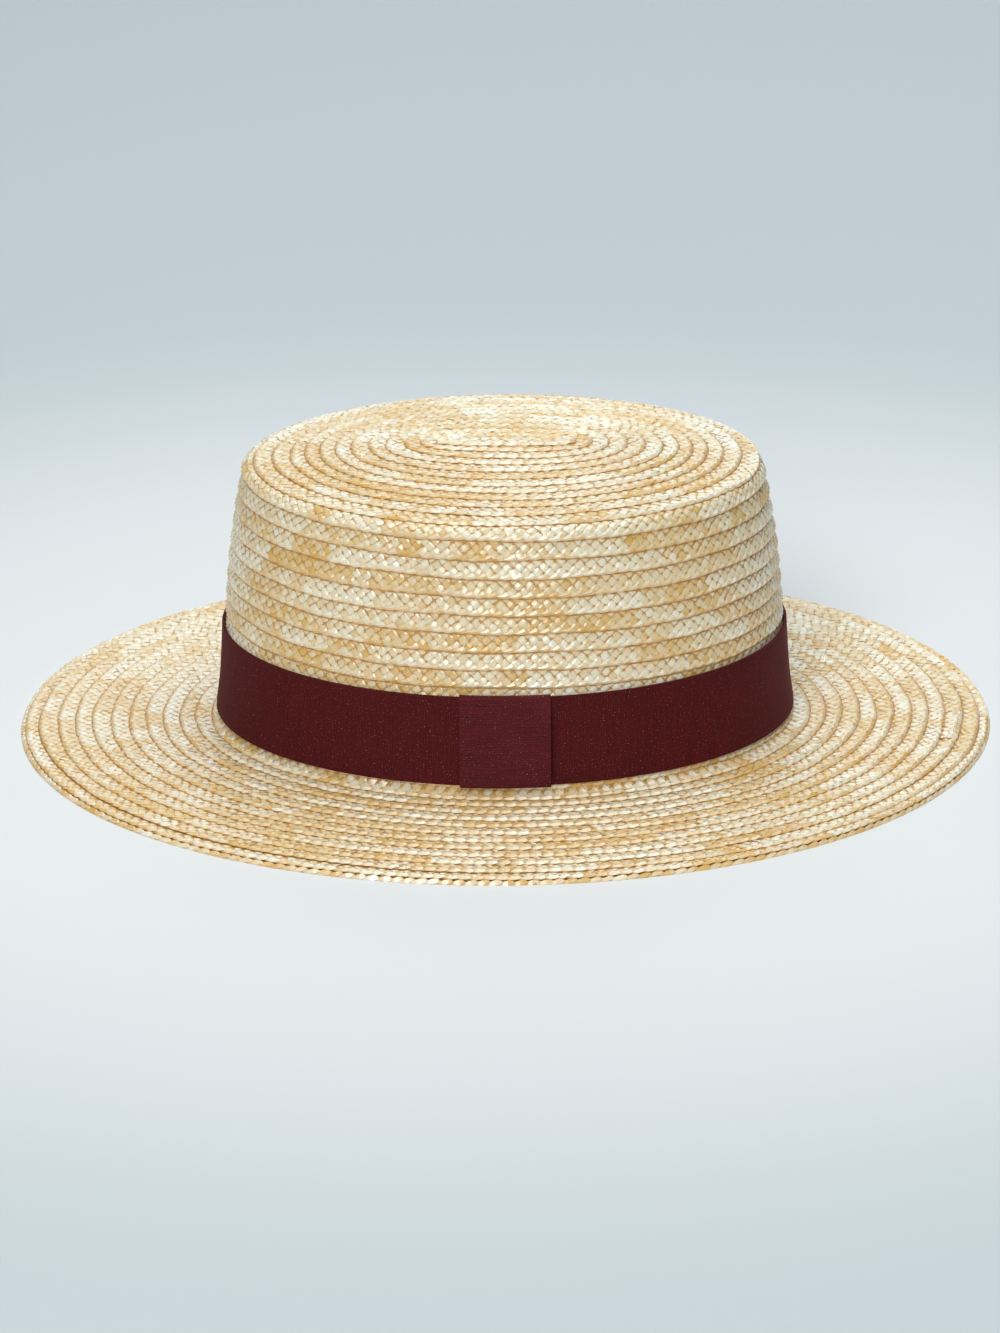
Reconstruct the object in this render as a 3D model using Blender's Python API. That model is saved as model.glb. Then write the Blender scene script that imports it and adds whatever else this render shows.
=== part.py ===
"""Straw boater hat: crown and brim of sewn plaited straw, a doubled brim edge, a ribbon and its keeper.

Metres, +Z up. X runs along the hat's length and the keeper is on the -Y side. The origin is on the
surface that the hat rests on, below the middle of the brim.
"""
import math

import bmesh
import bpy

# Driving dimensions
BRIM_LENGTH = 0.3500
OVAL_EXCESS = 0.0400
CROWN_BASE_LENGTH = 0.2058
CROWN_TOP_LENGTH = 0.1872
TIP_EDGE_HEIGHT = 0.1010
TIP_RISE = 0.0062
SHOULDER_DROP = 0.0046
SHOULDER_INSET = 0.0047
BRIM_RISE = 0.0018
TURN_RADIUS = 0.0045
ROUNDING_WIDTH = 0.0150

# Plaited straw
CROWN_WALL = 0.0012
BRIM_WALL = 0.0010
ROW_STEP = 0.0008
TIP_PITCH = 0.0057
SIDE_PITCH = 0.00635
BRIM_PITCH = 0.0061
CENTRE_HALF_WIDTH = 0.0057

# Edge row under the brim
EDGE_ROW_WIDTH = 0.0075
EDGE_ROW_THICKNESS = 0.0011
EDGE_ROW_PROUD = 0.0006

# Ribbon
RIBBON_WIDTH = 0.0320
RIBBON_THICKNESS = 0.0010
RIBBON_BOTTOM = 0.0081
KEEPER_WIDTH = 0.0320
KEEPER_SHIFT = 0.0016

# Fit and fineness
GAP = 0.0003
SEGMENTS = 48
KEEPER_COLUMNS = 8
WALK_STEPS = 24
BEND_PARTS = 3
SHARP_ANGLE = math.radians(35)

# Where the plain inner faces have a section: shares of the tip, the shoulder, the side, the tight turn
# up from the brim, and the flat of the brim
INNER_TIP_SHARES = (0.0, 0.35, 0.7, 1.0)
INNER_SHOULDER_SHARES = (0.5, 1.0)
INNER_SIDE_SHARES = (0.15, 0.3, 0.55, 0.8, 1.0)
INNER_TURN_SHARES = (0.0, 0.3, 0.65, 1.0)
INNER_BRIM_SHARES = (0.5, 1.0)

# How the crown's side leans in: height as a share of the side's height above the joint, and lean as a
# share of the whole difference between the base and the top.
SIDE_LEAN = (
    (0.00, 0.00),
    (0.12, 0.16),
    (0.24, 0.24),
    (0.34, 0.29),
    (0.48, 0.33),
    (0.69, 0.52),
    (0.86, 0.76),
    (1.00, 1.00),
)

# Worked out from the driving dimensions
EDGE_ROW_TOP = EDGE_ROW_THICKNESS
BRIM_TOP_AT_EDGE = EDGE_ROW_TOP + GAP + BRIM_WALL
BRIM_TOP_AT_TURN = BRIM_TOP_AT_EDGE + BRIM_RISE
JOINT_HEIGHT = BRIM_TOP_AT_TURN + TURN_RADIUS
SIDE_TOP = TIP_EDGE_HEIGHT - SHOULDER_DROP
RIBBON_TOP = RIBBON_BOTTOM + RIBBON_WIDTH
BASE_HALF = CROWN_BASE_LENGTH / 2
TOP_HALF = CROWN_TOP_LENGTH / 2
BRIM_HALF = BRIM_LENGTH / 2 - EDGE_ROW_PROUD
HALF_EXCESS = OVAL_EXCESS / 2


def clear_scene():
    """Remove whatever the file holds."""
    for old in list(bpy.data.objects):
        bpy.data.objects.remove(old, do_unlink=True)


def make_material(name, colour, roughness):
    """A plain finish for one sub-part."""
    material = bpy.data.materials.new(name)
    material.use_nodes = True
    shader = material.node_tree.nodes["Principled BSDF"]
    shader.inputs["Base Color"].default_value = (*colour, 1.0)
    shader.inputs["Roughness"].default_value = roughness
    shader.inputs["Metallic"].default_value = 0.0
    return material


def oval_point(half_length, height, turn):
    """A point of the oval with this half length, at a share of a turn from the +X end."""
    half_width = half_length - HALF_EXCESS
    fullness = 2.0 + math.exp(-half_width / ROUNDING_WIDTH)
    angle = 2 * math.pi * turn
    along = math.copysign(abs(math.cos(angle)) ** (2 / fullness), math.cos(angle))
    across = math.copysign(abs(math.sin(angle)) ** (2 / fullness), math.sin(angle))
    return half_length * along, half_width * across, height


def lean_at(share):
    """The lean of the crown's side at a share of its height."""
    for (low, lean_low), (high, lean_high) in zip(SIDE_LEAN, SIDE_LEAN[1:]):
        if share <= high:
            return lean_low + (lean_high - lean_low) * (share - low) / (high - low)
    return SIDE_LEAN[-1][1]


def side_half_length(height):
    """Half the crown's length over its row edges, at a height on its side."""
    share = (height - JOINT_HEIGHT) / (SIDE_TOP - JOINT_HEIGHT)
    return BASE_HALF + (TOP_HALF - BASE_HALF) * lean_at(max(0.0, share))


def crown_path():
    """The crown's outer surface below its row edges, from the middle of the tip to the joint."""
    edge_half = TOP_HALF - SHOULDER_INSET
    edge_width = edge_half - HALF_EXCESS
    path = []
    for step in range(WALK_STEPS):
        width = CENTRE_HALF_WIDTH + (edge_width - CENTRE_HALF_WIDTH) * step / WALK_STEPS
        rise = TIP_RISE * (1 - (width / edge_width) ** 2)
        path.append((width + HALF_EXCESS, TIP_EDGE_HEIGHT + rise - ROW_STEP))
    for step in range(WALK_STEPS):
        angle = math.pi / 2 * step / WALK_STEPS
        half = edge_half + SHOULDER_INSET * math.sin(angle)
        height = TIP_EDGE_HEIGHT - SHOULDER_DROP * (1 - math.cos(angle))
        path.append((half - ROW_STEP * math.sin(angle), height - ROW_STEP * math.cos(angle)))
    for step in range(2 * WALK_STEPS + 1):
        height = SIDE_TOP + (JOINT_HEIGHT + GAP - SIDE_TOP) * step / (2 * WALK_STEPS)
        path.append((side_half_length(height) - ROW_STEP, height))
    return path


def brim_path():
    """The brim's upper surface below its row edges, from the joint out to the edge."""
    turn_half = BASE_HALF - ROW_STEP + TURN_RADIUS
    path = []
    for step in range(WALK_STEPS):
        angle = math.pi / 2 * step / WALK_STEPS
        path.append((turn_half - TURN_RADIUS * math.cos(angle), JOINT_HEIGHT - TURN_RADIUS * math.sin(angle)))
    for step in range(WALK_STEPS + 1):
        share = step / WALK_STEPS
        half = turn_half + (BRIM_HALF - turn_half) * share
        path.append((half, BRIM_TOP_AT_TURN - BRIM_RISE * share))
    return path


def path_lengths(path):
    """The length of the path up to each of its points."""
    lengths = [0.0]
    for (half, height), (next_half, next_height) in zip(path, path[1:]):
        lengths.append(lengths[-1] + math.hypot(next_half - half, next_height - height))
    return lengths


def path_point(path, lengths, distance, level):
    """The point at a distance along the path, moved out from the surface by a level."""
    index = 1
    while index < len(path) - 1 and lengths[index] < distance:
        index += 1
    (half, height), (next_half, next_height) = path[index - 1], path[index]
    span = lengths[index] - lengths[index - 1]
    share = (distance - lengths[index - 1]) / span
    out_half = (height - next_height) / span
    out_height = (next_half - half) / span
    return (
        half + (next_half - half) * share + level * out_half,
        height + (next_height - height) * share + level * out_height,
    )


def row_edges(path, pitches):
    """Distances of the row edges along the path, for a list of (last distance, pitch) stretches."""
    edges = [0.0]
    for last, pitch in pitches:
        start = edges[-1]
        rows = max(1, round((last - start) / pitch))
        edges += [start + (last - start) * row / rows for row in range(1, rows + 1)]
    return edges


def shingled(path, edges, bend):
    """Profile points of rows that each rise to their outer edge and lap over the next row.

    A row that meets the bend, a stretch of the path, is followed more closely.
    """
    lengths = path_lengths(path)
    points = []
    for start, end in zip(edges, edges[1:]):
        parts = BEND_PARTS if start < bend[1] and end > bend[0] else 1
        for part in range(parts + 1):
            share = part / parts
            points.append(path_point(path, lengths, start + (end - start) * share, ROW_STEP * share))
    return points


def places_between(start, end, shares):
    """Distances along a path at shares of the stretch from start to end."""
    return [start + (end - start) * share for share in shares]


def under_side(path, places, wall):
    """Profile points one wall below the path, at the given distances."""
    lengths = path_lengths(path)
    return [path_point(path, lengths, place, -wall) for place in places]


def add_object(name, mesh_maker, material):
    """Make one sub-part from a bmesh."""
    shape = bmesh.new()
    mesh_maker(shape)
    bmesh.ops.recalc_face_normals(shape, faces=shape.faces)
    mesh = bpy.data.meshes.new(name)
    shape.to_mesh(mesh)
    shape.free()
    mesh.materials.append(material)
    mesh.shade_smooth()
    mesh.set_sharp_from_angle(angle=SHARP_ANGLE)
    made = bpy.data.objects.new(name, mesh)
    bpy.context.scene.collection.objects.link(made)
    return made


def add_ring(shape, half_length, height):
    """One oval ring of vertices."""
    points = [oval_point(half_length, height, index / SEGMENTS) for index in range(SEGMENTS)]
    return [shape.verts.new(point) for point in points]


def bridge(shape, ring, other):
    """A strip of faces between two rings of as many vertices."""
    for index in range(SEGMENTS):
        after = (index + 1) % SEGMENTS
        shape.faces.new((ring[index], ring[after], other[after], other[index]))


def close_across(shape, ring):
    """Fill an oval ring with faces that run straight across it."""
    half = SEGMENTS // 2
    for index in range(half):
        left, next_left = ring[(-index) % SEGMENTS], ring[(-index - 1) % SEGMENTS]
        corners = [ring[index], ring[index + 1], next_left, left]
        kept = []
        for corner in corners:
            if corner not in kept:
                kept.append(corner)
        shape.faces.new(kept)


def make_crown(shape):
    """The hollow crown: tip, shoulder and side in rows, with a plain inner face."""
    path = crown_path()
    lengths = path_lengths(path)
    tip_end = lengths[WALK_STEPS]
    edges = row_edges(path, [(tip_end, TIP_PITCH), (lengths[-1], SIDE_PITCH)])
    shoulder_end = lengths[2 * WALK_STEPS]
    inner_places = places_between(0.0, tip_end, INNER_TIP_SHARES)
    inner_places += places_between(tip_end, shoulder_end, INNER_SHOULDER_SHARES)
    inner_places += places_between(shoulder_end, lengths[-1], INNER_SIDE_SHARES)
    bend = (tip_end, shoulder_end)
    outer = [add_ring(shape, *point) for point in shingled(path, edges, bend)]
    inner = [add_ring(shape, *point) for point in under_side(path, inner_places, CROWN_WALL)]
    rings = outer + inner[::-1]
    for ring, other in zip(rings, rings[1:]):
        bridge(shape, ring, other)
    close_across(shape, rings[0])
    close_across(shape, rings[-1])


def make_brim(shape):
    """The brim: a ring in rows, turned up at its inner end to meet the crown."""
    path = brim_path()
    lengths = path_lengths(path)
    edges = row_edges(path, [(lengths[-1], BRIM_PITCH)])
    turn_end = lengths[WALK_STEPS]
    places = places_between(0.0, turn_end, INNER_TURN_SHARES)
    places += places_between(turn_end, lengths[-1], INNER_BRIM_SHARES)
    outer = [add_ring(shape, *point) for point in shingled(path, edges, (0.0, turn_end))]
    inner = [add_ring(shape, *point) for point in under_side(path, places, BRIM_WALL)]
    rings = outer + inner[::-1]
    for ring, other in zip(rings, rings[1:] + rings[:1]):
        bridge(shape, ring, other)


def make_edge_row(shape):
    """The last turn of plait, flat under the brim's edge and a little proud of it."""
    outer = BRIM_LENGTH / 2
    inner = outer - EDGE_ROW_WIDTH
    corners = [(inner, 0.0), (outer, 0.0), (outer, EDGE_ROW_TOP), (inner, EDGE_ROW_TOP)]
    rings = [add_ring(shape, *corner) for corner in corners]
    for ring, other in zip(rings, rings[1:] + rings[:1]):
        bridge(shape, ring, other)


def ribbon_half_length(height):
    """Half the length inside the ribbon, clear of the crown's row edges and of the turned-up brim."""
    return side_half_length(height) + GAP


def ribbon_levels():
    """Heights of the ribbon's sections: its edges, and the places where the crown's side bends."""
    bends = [JOINT_HEIGHT + (SIDE_TOP - JOINT_HEIGHT) * share for share, lean in SIDE_LEAN]
    inside = [bend for bend in bends if RIBBON_BOTTOM + GAP < bend < RIBBON_TOP - GAP]
    return [RIBBON_BOTTOM] + inside + [RIBBON_TOP]


def make_band(shape):
    """The ribbon round the foot of the crown."""
    levels = ribbon_levels()
    profile = [(ribbon_half_length(level) + RIBBON_THICKNESS, level) for level in levels]
    profile += [(ribbon_half_length(level), level) for level in reversed(levels)]
    rings = [add_ring(shape, *point) for point in profile]
    for ring, other in zip(rings, rings[1:] + rings[:1]):
        bridge(shape, ring, other)


def keeper_profile():
    """The keeper's section: a plate over the ribbon with a lip over each of the ribbon's edges."""
    levels = ribbon_levels()
    face = RIBBON_THICKNESS + GAP
    bottom, top = RIBBON_BOTTOM - GAP, RIBBON_TOP + GAP
    under, over = bottom - RIBBON_THICKNESS, top + RIBBON_THICKNESS
    out = [(ribbon_half_length(levels[0]) + face + RIBBON_THICKNESS, under)]
    out += [(ribbon_half_length(level) + face + RIBBON_THICKNESS, level) for level in levels[1:-1]]
    out.append((ribbon_half_length(levels[-1]) + face + RIBBON_THICKNESS, over))
    lip_over = [(ribbon_half_length(top), over), (ribbon_half_length(top), top)]
    back = [(ribbon_half_length(levels[-1]) + face, top)]
    back += [(ribbon_half_length(level) + face, level) for level in reversed(levels[1:-1])]
    back.append((ribbon_half_length(levels[0]) + face, bottom))
    lip_start = ribbon_half_length(bottom) + RIBBON_THICKNESS / 2
    lip_under = [(lip_start, bottom), (lip_start, under)]
    return out + lip_over + back + lip_under


def keeper_point(half_length, height, across):
    """A point of the -Y side of an oval, at a distance across from the middle."""
    half_width = half_length - HALF_EXCESS
    return across, -half_width * math.sqrt(1 - (across / half_length) ** 2), height


def make_keeper(shape):
    """The flat loop over the ribbon's join, bent to the ribbon's curve."""
    columns = []
    for column in range(KEEPER_COLUMNS + 1):
        across = KEEPER_SHIFT - KEEPER_WIDTH / 2 + KEEPER_WIDTH * column / KEEPER_COLUMNS
        points = [keeper_point(half, height, across) for half, height in keeper_profile()]
        columns.append([shape.verts.new(point) for point in points])
    count = len(columns[0])
    for column, other in zip(columns, columns[1:]):
        for index in range(count):
            after = (index + 1) % count
            shape.faces.new((column[index], column[after], other[after], other[index]))
    shape.faces.new(columns[0])
    shape.faces.new(columns[-1])


def main():
    """Build the hat."""
    clear_scene()
    straw = make_material("plaited_straw", (0.72, 0.53, 0.29), 0.55)
    ribbon = make_material("wine_grosgrain", (0.075, 0.012, 0.014), 0.85)
    hat = bpy.data.objects.new("boater_hat", None)
    bpy.context.scene.collection.objects.link(hat)
    pieces = (
        ("crown", make_crown, straw),
        ("brim", make_brim, straw),
        ("brim_edge_row", make_edge_row, straw),
        ("ribbon_band", make_band, ribbon),
        ("ribbon_keeper", make_keeper, ribbon),
    )
    for name, maker, material in pieces:
        add_object(name, maker, material).parent = hat


main()
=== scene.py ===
"""Looks of the straw boater hat: the sewn straw plait, the ribbon with its keeper, and a plain stage.

Metres, +Z up. X runs along the hat's length and the keeper is on the -Y side, as in the part's source.
The whole straw body is one five-strand plait that winds out in a spiral from the middle of the tip to
the brim's edge, and once more under the edge. Each strand is modelled as it weaves.
"""

import math

import bpy
import numpy as np
from mathutils import Matrix, Vector


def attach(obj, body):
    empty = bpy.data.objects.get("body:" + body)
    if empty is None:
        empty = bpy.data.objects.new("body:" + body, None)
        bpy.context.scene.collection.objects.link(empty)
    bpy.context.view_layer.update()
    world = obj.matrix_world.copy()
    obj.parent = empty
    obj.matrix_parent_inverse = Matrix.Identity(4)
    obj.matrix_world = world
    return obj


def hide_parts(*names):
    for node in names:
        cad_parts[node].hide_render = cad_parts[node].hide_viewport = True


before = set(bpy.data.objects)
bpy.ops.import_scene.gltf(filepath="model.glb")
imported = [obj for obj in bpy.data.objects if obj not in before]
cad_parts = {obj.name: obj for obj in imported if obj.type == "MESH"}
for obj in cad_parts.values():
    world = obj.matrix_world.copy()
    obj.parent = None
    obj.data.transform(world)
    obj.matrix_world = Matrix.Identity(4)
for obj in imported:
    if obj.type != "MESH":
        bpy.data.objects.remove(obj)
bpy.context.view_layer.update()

bl_info = {
    "name": "Straw boater hat",
    "version": (1, 0, 0),
    "blender": (4, 5, 0),
    "location": "View3D > Sidebar > Boater",
    "description": "Builds a boater of sewn straw plait with a grosgrain ribbon, and a plain stage",
    "category": "Object",
}

# The hat's profile, as in the part's source
OVAL_EXCESS = 0.0200
ROUNDING_WIDTH = 0.0150
CROWN_BASE_HALF = 0.1029
CROWN_TOP_HALF = 0.0936
TIP_EDGE_HEIGHT = 0.1010
TIP_RISE = 0.0062
SHOULDER_DROP = 0.0046
SHOULDER_INSET = 0.0047
SIDE_TOP = TIP_EDGE_HEIGHT - SHOULDER_DROP
JOINT_HEIGHT = 0.0087
TURN_RADIUS = 0.0037
BRIM_RISE = 0.0018
BRIM_HALF = 0.1744
BRIM_HALF_WITH_EDGE_ROW = 0.1750
EDGE_ROW_HEIGHT = 0.0012
SIDE_LEAN = (
    (0.00, 0.00), (0.12, 0.16), (0.24, 0.24), (0.34, 0.29), (0.48, 0.33), (0.69, 0.52), (0.86, 0.76),
    (1.00, 1.00),
)

# How much of the edge row shows past the brim's last row, and how strongly its sides' colour and the
# painted shade deep in its plait show on it
EDGE_ROW_SHOWS = 0.0011
EDGE_ROW_EDGE_AND_SHADE = 0.3

# The ribbon, as in the part's source
RIBBON_BOTTOM = 0.0081
RIBBON_WIDTH = 0.0320
RIBBON_THICKNESS = 0.0010
KEEPER_WIDTH = 0.0320
FIT_GAP = 0.0003

# How finely the ribbon is sampled, and the angle from which an edge of it is sharp
RIBBON_ROWS = 12
RIBBON_SAMPLES = 4001
RIBBON_CREASE = math.radians(60)

# How the keeper is folded round the ribbon's edges. Its folds reach in behind the ribbon to shares of its
# depth there, and its right side, from a share of its width on, stands off the ribbon. Powers shape that
# lift, across the keeper and up it.
KEEPER_EDGE_GAP = 0.0001
KEEPER_FOLD = 0.0005
KEEPER_FOLD_STEPS = 5
KEEPER_TUCKS = (0.5, 0.7)
KEEPER_COLUMNS = 24
KEEPER_LOOSE_FROM = 0.72
KEEPER_LIFT_POWERS = (2, 3)

# Where the outer edge of each turn of plait lies along the profile: turns wound, and metres from the
# middle of the tip. The plait starts at the -X end and winds past the -Y side first.
ROW_PLACES = (
    (0.00, 0.0039), (0.25, 0.0040), (0.50, 0.0060), (0.75, 0.0082), (1.00, 0.0093), (1.25, 0.0102),
    (2.25, 0.0167), (3.25, 0.0230), (4.25, 0.0293), (5.25, 0.0356), (6.25, 0.0415), (7.25, 0.0469),
    (8.25, 0.0521), (9.25, 0.0576), (10.25, 0.0638), (11.25, 0.0711), (12.25, 0.0779), (13.25, 0.0845),
    (14.25, 0.0911), (15.25, 0.0978), (16.25, 0.1044), (17.25, 0.1110), (18.25, 0.1176), (19.25, 0.1241),
    (20.25, 0.1307), (26.50, 0.1685), (27.00, 0.1698), (27.50, 0.1745), (28.00, 0.1755), (28.50, 0.1801),
    (29.00, 0.1813), (29.50, 0.1862), (30.00, 0.1873), (30.50, 0.1926), (31.00, 0.1934), (31.50, 0.1982),
    (32.00, 0.1998), (32.50, 0.2044), (33.00, 0.2063), (33.50, 0.2109), (34.00, 0.2128), (34.50, 0.2171),
    (35.00, 0.2191), (35.50, 0.2233), (36.00, 0.2254), (36.50, 0.2295), (37.00, 0.2321), (37.50, 0.2353),
    (38.00, 0.2375), (38.50, 0.2384),
)
START_TURN = 0.5
LAST_TURN = 38.5

# Turns over which the rows' places are smoothed, and the limits of the distance between rows
ROW_SMOOTHING = 0.12
PITCH_LIMITS = (0.0055, 0.0072)

# Turns over which the plait tilts to lap over itself, sinks at its end, and lets its outer edge droop
TILT_TURNS = (0.45, 0.85)
SINK_TURNS = 0.06
SINK_DEPTH = 0.0009
DROOP_TURNS = (37.2, 37.6)
DROOP_DEPTH = 0.0009

# How finely the profile and the spiral are sampled
WALK_STEP = 0.0003
WALK_BEFORE_MIDDLE = 0.0085
TIP_SAMPLES = 160
SHOULDER_SAMPLES = 40
SIDE_SAMPLES = 200
TURN_UP_SAMPLES = 24
BRIM_SAMPLES = 120
TABLE_PARTS = 720

# How the sewn rows waver: pairs of a length along the plait and a size
WAVERS = ((0.037, 0.00010), (0.061, 0.00013), (0.113, 0.00017), (0.0171, 0.00006))

# Where the end of one length of plait shows on the brim, in turns, and how far it lies in and up
JOIN_TURNS = (36.470, 36.496)
JOIN_SHIFT = 0.0008
JOIN_LIFT = 0.0006

# The pieces of plait: name, first and last turn, and the solid that each stands for
PLAIT_PIECES = (
    ("tip_plait", 0.0, 11.9, "crown"),
    ("side_plait_upper", 11.9, 19.1, "crown"),
    ("side_plait_lower", 19.1, 26.0, "crown"),
    ("brim_plait_inner", 26.0, 33.0, "brim"),
    ("brim_plait_outer", 33.0, 38.5, "brim"),
)

# How a strand of the plait runs. It crosses from the outer edge to the inner one in five steps and back
# in five more. Levels are metres in from the outer edge at each step, and sides are over (1), under (-1)
# or folding at an edge (0). The shares of width and thickness go with the levels. Each step has a sample
# a little before it and one a little after it.
STRANDS = 5
CYCLE_STEPS = 10
LEVELS = (0.0008, 0.00115, 0.0024, 0.0044, 0.0065, 0.0080)
PLAIT_MIDDLE = (LEVELS[0] + LEVELS[-1]) / 2
SIDES = (0, 1, -1, 1, -1, 0, 1, -1, 1, -1)
SAMPLE_OFFSETS = (-0.28, 0.28)
APEX_SIDE = 0.6
APEX_POWER = 1.6
WIDTH_SHARES = (0.60, 0.76, 1.04, 1.12, 1.12, 0.80)
THICKNESS_SHARES = (1.6, 1.4, 1.0, 1.0, 1.0, 1.0)

# A strand's section is a flat triangle: shares of the half width, and of the thickness above its middle.
# Its edges are sharp from the crease angle on.
SECTION = ((1.0, -0.5), (0.0, 0.35), (-1.0, -0.5))
CREASE_ANGLE = math.radians(14)

# Close to the plait's edges the strands fold down, and just inside them the plait swells
FOLD_REACH = 0.0007
FOLD_DEPTH = 0.95
RIDGE_SWELL = 0.0003
RIDGE_WIDTH = 0.0024

# How much the strands vary from facet to facet, and the limits of two of those
SPREADS = {"width": 0.05, "thickness": 0.12, "along": 0.00013, "inward": 0.00009, "lift": 0.00002,
           "roll": 0.07, "tone": 0.06, "seam": 0.35}
ROLL_LIMIT = 0.15
SEAM_MIDDLE = 0.8
SEAM_LIMITS = (0.1, 1.3)

# The first turn has no row over it, and this is what it has for millimetres under one
UNCOVERED = -5.0

# The doubled straw that closes the plait between its crossings: metres in from the outer edge, and lift,
# and its part in what the material reads. It reads as wholly deep in the plait and partly under the row
# above, so it is painted all over in the amber of painted shade, with part of the painted shadow line.
CORE_PROFILE = ((0.0003, -0.00028), (0.0012, -0.00006), (0.0032, 0.0), (0.0053, 0.0), (0.0074, 0.0))
CORE_THICKNESS = 0.00008
CORE_STEP = 0.005
CORE_COVER = -0.45
CORE_TONE = 0.3
CORE_SEED = 0.5
CORE_CORNERS = 2 * len(CORE_PROFILE)

# Parts of the bake map's cells that each side of a strand and of the core takes, and the map's shape
STRAND_BANDS = ((0.06, 0.34), (0.34, 0.62), (0.72, 0.94))
CORE_BANDS = tuple((0.02 + 0.0975 * band, 0.10 + 0.0975 * band) for band in range(CORE_CORNERS))
MAP_SHAPE = 1.3

# Straws: how their lengths vary, how many strands are mostly cream, share of straws of the other colour,
# and tones from 0, golden, to 1, cream: middle and spread. More straws and cycles are drawn than the length
# of plait needs: a share and a number more of straws, a number more of cycles.
STRAND_SEED = 31
SPARE_STRAWS = (1.6, 4)
SPARE_CYCLES = 3
STRAW_LENGTH_RANGE = (0.7, 1.3)
CREAM_STRANDS = 3
SWAPPED_STRAWS = 0.16
CREAM_TONES = (0.70, 0.14)
GOLDEN_TONES = (0.32, 0.14)

# Stretches of plait with paler and deeper straw: shortest, longest, how many, share of pale ones, tones
# as above, and how far the strands' own tones give way to them
STRETCH_SEED = 7
STRETCH_LENGTHS = (0.004, 0.028)
STRETCH_COUNT = 2400
PALE_STRETCHES = 0.52
PALE_TONES = (0.82, 0.14)
DEEP_TONES = (0.16, 0.14)
STRETCH_WEIGHT = 0.5

# The straw's surface: noise per metre along, per half width and per straw, and how strongly it shows
FIBRE_SCALES = (140.0, 7.0, 91.0)
FIBRE_DETAIL, BLOTCH_DETAIL, NOTCH_DETAIL = 3.0, 1.0, 0.0
FIBRE_STREAKS = 0.9
BLOTCH_SCALES = (300.0, 0.8, 53.0)
BLOTCH_STRENGTH = 0.45
NOTCH_SCALE = 420.0

# Where the straw turns to the colour of its edges: at its sides, partly the cut sides' own colour and
# partly painted shade that grows close to and under the row above; painted shade deep in the plait; and a
# painted shadow line, broken into notches, along the edge of the row above, which also darkens the straw.
# Spans are of millimetres under the row above, of depth in the plait, and of notch noise; strengths are the
# masks at the two ends of a span.
SEAM_POWER = 4.0
SEAM_SHADE_SPAN, SEAM_SHADE_STRENGTHS = (-2.0, -0.9), (0.10, 1.4)
DEEP_SHADE_SPAN, DEEP_SHADE_STRENGTH = (0.42, 1.0), 0.9
SHADOW_LINE_SPAN, SHADOW_LINE_SHADE = (-0.60, -0.20), 0.26
NOTCH_SPAN, NOTCH_STRENGTHS = (0.35, 0.60), (0.40, 1.1)
STRAW_ROUGHNESS, FIBRE_ROUGHNESS, DEEP_SHADE_ROUGHNESS = 0.10, 0.22, 0.5

# What a surface's shader group puts out
SURFACE = (("Color", "NodeSocketColor"), ("Roughness", "NodeSocketFloat"), ("Height", "NodeSocketFloat"))

# What is the same all over each surface, and the strength and depth of the fine relief
STRAW_GLOSS = (
    ("Specular IOR Level", 0.9), ("Sheen Weight", 0.08), ("Sheen Roughness", 0.35),
    ("Subsurface Weight", 0.3), ("Subsurface Radius", (1.0, 0.55, 0.22)), ("Subsurface Scale", 0.0005),
)
RIBBON_GLOSS = (
    ("Specular IOR Level", 0.15), ("Sheen Weight", 0.10), ("Sheen Roughness", 0.4),
    ("Sheen Tint", (0.8, 0.35, 0.35, 1.0)),
)
FLOOR_GLOSS = (("Roughness", 0.75), ("Specular IOR Level", 0.2))
STRAW_RELIEF = (0.25, 0.0001)
RIBBON_RELIEF = (0.3, 0.0001)

# The ribbon's surface: noise per metre, how strongly it shades the cloth, and the pale spots of fluff
SPECK_SCALE, SPECK_SHADE = 1900.0, 1.0
CLOUD_SCALE, CLOUD_SHADE = 60.0, 0.3
STREAK_SCALES, STREAK_SHADE = (1500.0, 60.0), 0.7
SPECK_DETAIL, CLOUD_DETAIL, STREAK_DETAIL = 1.0, 3.0, 2.0
# Painted shade: the grooves between the ribs are coloured darker than the crests
GROOVE_SHADE, RIB_SHADE = 0.60, 0.42
SPOT_FROM, SPOT_STRENGTH, SPOT_COLOUR = 0.66, 4.0, (0.42, 0.22, 0.23, 1.0)
RIBBON_ROUGHNESS, SPECK_ROUGHNESS = 0.62, 0.25


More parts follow.
